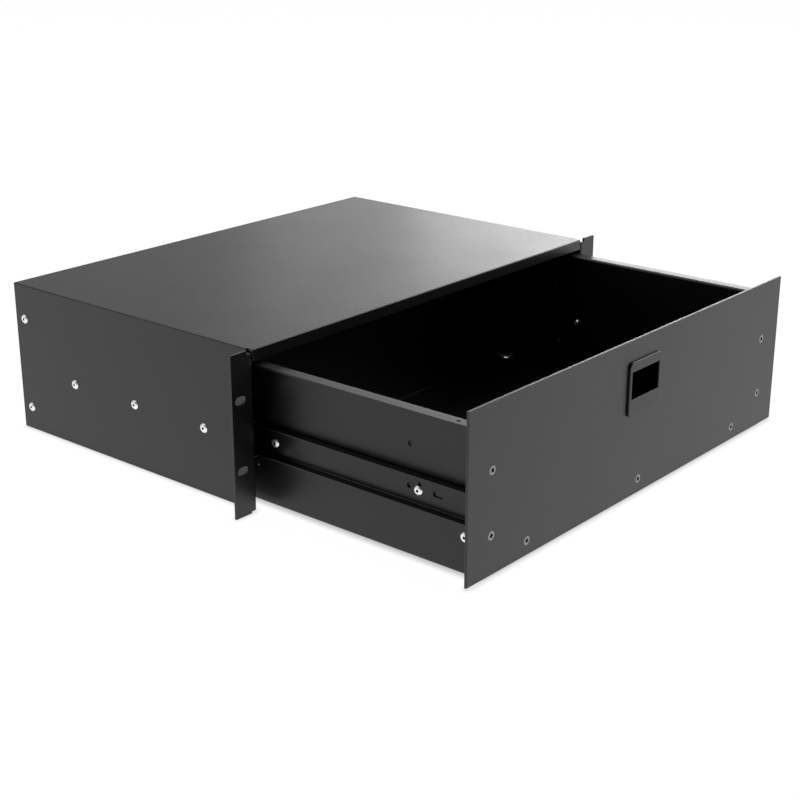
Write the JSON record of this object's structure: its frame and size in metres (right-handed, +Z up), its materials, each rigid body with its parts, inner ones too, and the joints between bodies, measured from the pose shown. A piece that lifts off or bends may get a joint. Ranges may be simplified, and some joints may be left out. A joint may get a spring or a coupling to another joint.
{
  "type": "sliding rack drawer",
  "caption": "Black 3U sliding drawer for a 19 inch rack: folded steel case with rack ears, ball slides, folded drawer with a flat front and a recessed finger latch.",
  "frame": {"origin": "centre of the four rack slots, on the front face of the ears", "axes": "+X to the right seen from the front, +Y into the rack, +Z up; the drawer opens towards -Y"},
  "size_m": [0.4826, 0.4984, 0.1329],
  "materials": {
    "case_powder_coat": "semi-matt fine powder coat",
    "pan_powder_coat": "semi-matt fine powder coat",
    "panel_powder_coat": "semi-matt fine powder coat",
    "rail_black_steel": "black plated, satin",
    "rivet_aluminium": "plain",
    "cage_steel": "bright zinc",
    "ball_steel": "polished",
    "bumper_rubber": "matt",
    "screw_dark_zinc": "dark zinc",
    "nut_zinc": "bright zinc",
    "latch_plastic": "fine texture",
    "bolt_plastic": "satin",
    "spring_steel": "bright wire"
  },
  "bodies": {
    "case": {"case_shell": "case_powder_coat", "rear_panel": "case_powder_coat", "case_rail_rivets": "rivet_aluminium", "rear_panel_rivets": "rivet_aluminium", "left_case_rail": "rail_black_steel", "right_case_rail": "rail_black_steel", "left_rail_bumper": "bumper_rubber", "right_rail_bumper": "bumper_rubber"},
    "left_cage": {"left_ball_cage": "cage_steel", "left_balls": "ball_steel"},
    "right_cage": {"right_ball_cage": "cage_steel", "right_balls": "ball_steel"},
    "drawer": {"drawer_pan": "pan_powder_coat", "pan_corner_rivets": "rivet_aluminium", "left_drawer_rail": "rail_black_steel", "right_drawer_rail": "rail_black_steel", "drawer_rail_rivets": "rivet_aluminium", "front_panel": "panel_powder_coat", "front_panel_screws": "screw_dark_zinc", "panel_press_nuts": "nut_zinc", "latch_housing": "latch_plastic", "latch_back_cover": "latch_plastic", "latch_springs": "spring_steel"},
    "latch": {"latch_bolt": "bolt_plastic"}
  },
  "joints": [
    {"name": "drawer_slide", "type": "slide", "parent": "case", "child": "drawer", "axis": [0, -1, 0], "range_m": [-0.205, 0]},
    {"name": "left_cage_slide", "type": "slide", "parent": "case", "child": "left_cage", "axis": [0, -1, 0], "range_m": [-0.1025, 0]},
    {"name": "right_cage_slide", "type": "slide", "parent": "case", "child": "right_cage", "axis": [0, -1, 0], "range_m": [-0.1025, 0]},
    {"name": "latch_bolt_slide", "type": "slide", "parent": "drawer", "child": "latch", "axis": [0, 0, -1], "range_m": [0, 0.0044], "stiffness_N_per_m": 600, "springref_m": -0.004, "deforming": ["latch_springs"]}
  ],
  "couplings": [
    {"joint": "left_cage_slide", "follows": "drawer_slide", "ratio": 0.5},
    {"joint": "right_cage_slide", "follows": "drawer_slide", "ratio": 0.5}
  ]
}
